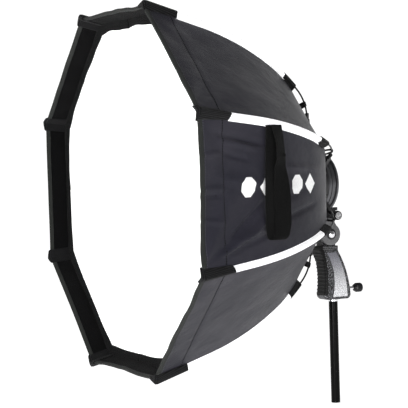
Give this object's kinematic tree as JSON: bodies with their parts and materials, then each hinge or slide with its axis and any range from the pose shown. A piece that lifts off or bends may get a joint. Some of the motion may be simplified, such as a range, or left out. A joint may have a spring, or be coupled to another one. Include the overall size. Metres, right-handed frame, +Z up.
{
  "type": "studio softbox",
  "caption": "Folding octagonal studio softbox with white front diffuser, on a speedring bracket with a tilting hand grip that clamps on a stand tube.",
  "frame": {"origin": "centre of the stand tube's lower end", "axes": "+Z up along the stand tube; the softbox opening faces -Y and its axis is parallel to Y at Z = 0.390; +X is to the softbox's left as it faces the subject"},
  "size_m": [0.6038, 0.477, 0.6919],
  "materials": {
    "black_cloth": "matt woven nylon, dark charcoal outside",
    "diffuser_cloth": "white translucent polyester",
    "white_webbing": "white sewn sleeve with black webbing pockets",
    "strap_webbing": "black hook-and-loop strap",
    "rod_steel": "black coated spring steel",
    "hub_plastic": "black moulded nylon",
    "pin_steel": "turned steel",
    "ring_metal": "dark grey anodised",
    "bracket_metal": "black powder coat",
    "shoe_metal": "plain metal",
    "tilt_metal": "grey textured powder coat",
    "bright_metal": "bright plated",
    "knob_plastic": "black knurled",
    "grip_plastic": "black textured",
    "grip_rubber": "black ribbed",
    "silver_panel": "silver grey textured",
    "tube_metal": "gloss black"
  },
  "bodies": {
    "stand": {"stand_tube": "tube_metal", "tube_collar": "bright_metal"},
    "grip": {"grip_core": "grip_plastic", "grip_front_rubber": "grip_rubber", "grip_side_plates": "silver_panel", "stand_bush": "pin_steel"},
    "stand_lock": {"stand_lock_screw": "bright_metal", "stand_lock_knob": "knob_plastic"},
    "softbox": {"hub_housing": "hub_plastic", "hinge_pins": "pin_steel", "hub_inner_plate": "hub_plastic", "hub_screws": "pin_steel", "speedring": "ring_metal", "bracket_upright": "bracket_metal", "accessory_shoe": "shoe_metal", "tilt_cheeks": "tilt_metal", "tilt_bolt": "bright_metal"},
    "shoe_clamp": {"shoe_clamp_knob": "knob_plastic"},
    "lever": {"tilt_lever": "bracket_metal"},
    "rib_1": {"rib_rod_1": "rod_steel", "rib_arm_1": "hub_plastic", "rib_sleeve_1": "white_webbing"},
    "gore_1": {"gore_1": "black_cloth"},
    "sector_1": {"diffuser_sector_1": "diffuser_cloth"},
    "rib_2": {"rib_rod_2": "rod_steel", "rib_arm_2": "hub_plastic", "rib_sleeve_2": "white_webbing", "tie_strap": "strap_webbing"},
    "gore_2": {"gore_2": "black_cloth"},
    "sector_2": {"diffuser_sector_2": "diffuser_cloth"},
    "rib_3": {"rib_rod_3": "rod_steel", "rib_arm_3": "hub_plastic", "rib_sleeve_3": "white_webbing"},
    "gore_3": {"gore_3": "black_cloth"},
    "sector_3": {"diffuser_sector_3": "diffuser_cloth"},
    "rib_4": {"rib_rod_4": "rod_steel", "rib_arm_4": "hub_plastic", "rib_sleeve_4": "white_webbing"},
    "gore_4": {"gore_4": "black_cloth"},
    "sector_4": {"diffuser_sector_4": "diffuser_cloth"},
    "rib_5": {"rib_rod_5": "rod_steel", "rib_arm_5": "hub_plastic", "rib_sleeve_5": "white_webbing"},
    "gore_5": {"gore_5": "black_cloth"},
    "sector_5": {"diffuser_sector_5": "diffuser_cloth"},
    "rib_6": {"rib_rod_6": "rod_steel", "rib_arm_6": "hub_plastic", "rib_sleeve_6": "white_webbing"},
    "gore_6": {"gore_6": "black_cloth"},
    "sector_6": {"diffuser_sector_6": "diffuser_cloth"},
    "rib_7": {"rib_rod_7": "rod_steel", "rib_arm_7": "hub_plastic", "rib_sleeve_7": "white_webbing"},
    "gore_7": {"gore_7": "black_cloth"},
    "sector_7": {"diffuser_sector_7": "diffuser_cloth"},
    "rib_8": {"rib_rod_8": "rod_steel", "rib_arm_8": "hub_plastic", "rib_sleeve_8": "white_webbing"},
    "gore_8": {"gore_8": "black_cloth"},
    "sector_8": {"diffuser_sector_8": "diffuser_cloth"}
  },
  "joints": [
    {"name": "grip_pan", "type": "hinge", "parent": "stand", "child": "grip", "pos_m": [0, 0, 0.2], "axis": [0, 0, 1], "continuous": true},
    {"name": "stand_lock_turn", "type": "hinge", "parent": "grip", "child": "stand_lock", "pos_m": [0, 0.042, 0.201], "axis": [0, 1, 0], "continuous": true},
    {"name": "tilt", "type": "hinge", "parent": "grip", "child": "softbox", "pos_m": [0, -0.011, 0.3], "axis": [1, 0, 0], "range_deg": [-90, 38]},
    {"name": "tilt_lever_turn", "type": "hinge", "parent": "softbox", "child": "lever", "pos_m": [0, -0.011, 0.3], "axis": [1, 0, 0], "range_deg": [-35, 35]},
    {"name": "shoe_clamp_turn", "type": "hinge", "parent": "softbox", "child": "shoe_clamp", "pos_m": [0.02, -0.002, 0.333], "axis": [1, 0, 0], "continuous": true},
    {"name": "rib_1_fold", "type": "hinge", "parent": "softbox", "child": "rib_1", "pos_m": [0.02449, -0.054, 0.44913], "axis": [0.9239, 0, -0.3827], "range_deg": [0, 38]},
    {"name": "gore_1_fold", "type": "hinge", "parent": "rib_1", "child": "gore_1", "pos_m": [0.04898, -0.054, 0.43898], "axis": [-0.6738, -0.3031, -0.6738], "range_deg": [0, 28.63], "deforming": ["gore_1"]},
    {"name": "sector_1_fold", "type": "hinge", "parent": "rib_1", "child": "sector_1", "pos_m": [0.11595, -0.3814, 0.66993], "axis": [0.9239, 0, -0.3827], "range_deg": [0, 51], "deforming": ["diffuser_sector_1"]},
    {"name": "rib_2_fold", "type": "hinge", "parent": "softbox", "child": "rib_2", "pos_m": [0.05913, -0.054, 0.41449], "axis": [0.3827, 0, -0.9239], "range_deg": [0, 38], "deforming": ["tie_strap"]},
    {"name": "gore_2_fold", "type": "hinge", "parent": "rib_2", "child": "gore_2", "pos_m": [0.06927, -0.054, 0.39], "axis": [-0.9529, -0.3031, 0], "range_deg": [0, 28.63], "deforming": ["gore_2"]},
    {"name": "sector_2_fold", "type": "hinge", "parent": "rib_2", "child": "sector_2", "pos_m": [0.27993, -0.3814, 0.50595], "axis": [0.3827, 0, -0.9239], "range_deg": [0, 51], "deforming": ["diffuser_sector_2"]},
    {"name": "rib_3_fold", "type": "hinge", "parent": "softbox", "child": "rib_3", "pos_m": [0.05913, -0.054, 0.36551], "axis": [-0.3827, 0, -0.9239], "range_deg": [0, 38]},
    {"name": "gore_3_fold", "type": "hinge", "parent": "rib_3", "child": "gore_3", "pos_m": [0.04898, -0.054, 0.34102], "axis": [-0.6738, -0.3031, 0.6738], "range_deg": [0, 28.63], "deforming": ["gore_3"]},
    {"name": "sector_3_fold", "type": "hinge", "parent": "rib_3", "child": "sector_3", "pos_m": [0.27993, -0.3814, 0.27405], "axis": [-0.3827, 0, -0.9239], "range_deg": [0, 51], "deforming": ["diffuser_sector_3"]},
    {"name": "rib_4_fold", "type": "hinge", "parent": "softbox", "child": "rib_4", "pos_m": [0.02449, -0.054, 0.33087], "axis": [-0.9239, 0, -0.3827], "range_deg": [0, 38]},
    {"name": "gore_4_fold", "type": "hinge", "parent": "rib_4", "child": "gore_4", "pos_m": [0, -0.054, 0.32073], "axis": [0, -0.3031, 0.9529], "range_deg": [0, 28.63], "deforming": ["gore_4"]},
    {"name": "sector_4_fold", "type": "hinge", "parent": "rib_4", "child": "sector_4", "pos_m": [0.11595, -0.3814, 0.11006], "axis": [-0.9239, 0, -0.3827], "range_deg": [0, 51], "deforming": ["diffuser_sector_4"]},
    {"name": "rib_5_fold", "type": "hinge", "parent": "softbox", "child": "rib_5", "pos_m": [-0.02449, -0.054, 0.33087], "axis": [-0.9239, 0, 0.3827], "range_deg": [0, 38]},
    {"name": "gore_5_fold", "type": "hinge", "parent": "rib_5", "child": "gore_5", "pos_m": [-0.04898, -0.054, 0.34102], "axis": [0.6738, -0.3031, 0.6738], "range_deg": [0, 28.63], "deforming": ["gore_5"]},
    {"name": "sector_5_fold", "type": "hinge", "parent": "rib_5", "child": "sector_5", "pos_m": [-0.11595, -0.3814, 0.11006], "axis": [-0.9239, 0, 0.3827], "range_deg": [0, 51], "deforming": ["diffuser_sector_5"]},
    {"name": "rib_6_fold", "type": "hinge", "parent": "softbox", "child": "rib_6", "pos_m": [-0.05913, -0.054, 0.36551], "axis": [-0.3827, 0, 0.9239], "range_deg": [0, 38]},
    {"name": "gore_6_fold", "type": "hinge", "parent": "rib_6", "child": "gore_6", "pos_m": [-0.06927, -0.054, 0.39], "axis": [0.9529, -0.3031, 0], "range_deg": [0, 28.63], "deforming": ["gore_6"]},
    {"name": "sector_6_fold", "type": "hinge", "parent": "rib_6", "child": "sector_6", "pos_m": [-0.27993, -0.3814, 0.27405], "axis": [-0.3827, 0, 0.9239], "range_deg": [0, 51], "deforming": ["diffuser_sector_6"]},
    {"name": "rib_7_fold", "type": "hinge", "parent": "softbox", "child": "rib_7", "pos_m": [-0.05913, -0.054, 0.41449], "axis": [0.3827, 0, 0.9239], "range_deg": [0, 38]},
    {"name": "gore_7_fold", "type": "hinge", "parent": "rib_7", "child": "gore_7", "pos_m": [-0.04898, -0.054, 0.43898], "axis": [0.6738, -0.3031, -0.6738], "range_deg": [0, 28.63], "deforming": ["gore_7"]},
    {"name": "sector_7_fold", "type": "hinge", "parent": "rib_7", "child": "sector_7", "pos_m": [-0.27993, -0.3814, 0.50595], "axis": [0.3827, 0, 0.9239], "range_deg": [0, 51], "deforming": ["diffuser_sector_7"]},
    {"name": "rib_8_fold", "type": "hinge", "parent": "softbox", "child": "rib_8", "pos_m": [-0.02449, -0.054, 0.44913], "axis": [0.9239, 0, 0.3827], "range_deg": [0, 38]},
    {"name": "gore_8_fold", "type": "hinge", "parent": "rib_8", "child": "gore_8", "pos_m": [0, -0.054, 0.45927], "axis": [0, -0.3031, -0.9529], "range_deg": [0, 28.63], "deforming": ["gore_8"]},
    {"name": "sector_8_fold", "type": "hinge", "parent": "rib_8", "child": "sector_8", "pos_m": [-0.11595, -0.3814, 0.66993], "axis": [0.9239, 0, 0.3827], "range_deg": [0, 51], "deforming": ["diffuser_sector_8"]}
  ],
  "couplings": [
    {"joint": "gore_1_fold", "follows": "rib_1_fold", "ratio": 0.75337},
    {"joint": "sector_1_fold", "follows": "rib_1_fold", "ratio": 1.3421},
    {"joint": "gore_2_fold", "follows": "rib_1_fold", "ratio": 0.75337},
    {"joint": "sector_2_fold", "follows": "rib_1_fold", "ratio": 1.3421},
    {"joint": "rib_2_fold", "follows": "rib_1_fold", "ratio": 1},
    {"joint": "gore_3_fold", "follows": "rib_1_fold", "ratio": 0.75337},
    {"joint": "sector_3_fold", "follows": "rib_1_fold", "ratio": 1.3421},
    {"joint": "rib_3_fold", "follows": "rib_1_fold", "ratio": 1},
    {"joint": "gore_4_fold", "follows": "rib_1_fold", "ratio": 0.75337},
    {"joint": "sector_4_fold", "follows": "rib_1_fold", "ratio": 1.3421},
    {"joint": "rib_4_fold", "follows": "rib_1_fold", "ratio": 1},
    {"joint": "gore_5_fold", "follows": "rib_1_fold", "ratio": 0.75337},
    {"joint": "sector_5_fold", "follows": "rib_1_fold", "ratio": 1.3421},
    {"joint": "rib_5_fold", "follows": "rib_1_fold", "ratio": 1},
    {"joint": "gore_6_fold", "follows": "rib_1_fold", "ratio": 0.75337},
    {"joint": "sector_6_fold", "follows": "rib_1_fold", "ratio": 1.3421},
    {"joint": "rib_6_fold", "follows": "rib_1_fold", "ratio": 1},
    {"joint": "gore_7_fold", "follows": "rib_1_fold", "ratio": 0.75337},
    {"joint": "sector_7_fold", "follows": "rib_1_fold", "ratio": 1.3421},
    {"joint": "rib_7_fold", "follows": "rib_1_fold", "ratio": 1},
    {"joint": "gore_8_fold", "follows": "rib_1_fold", "ratio": 0.75337},
    {"joint": "sector_8_fold", "follows": "rib_1_fold", "ratio": 1.3421},
    {"joint": "rib_8_fold", "follows": "rib_1_fold", "ratio": 1}
  ]
}
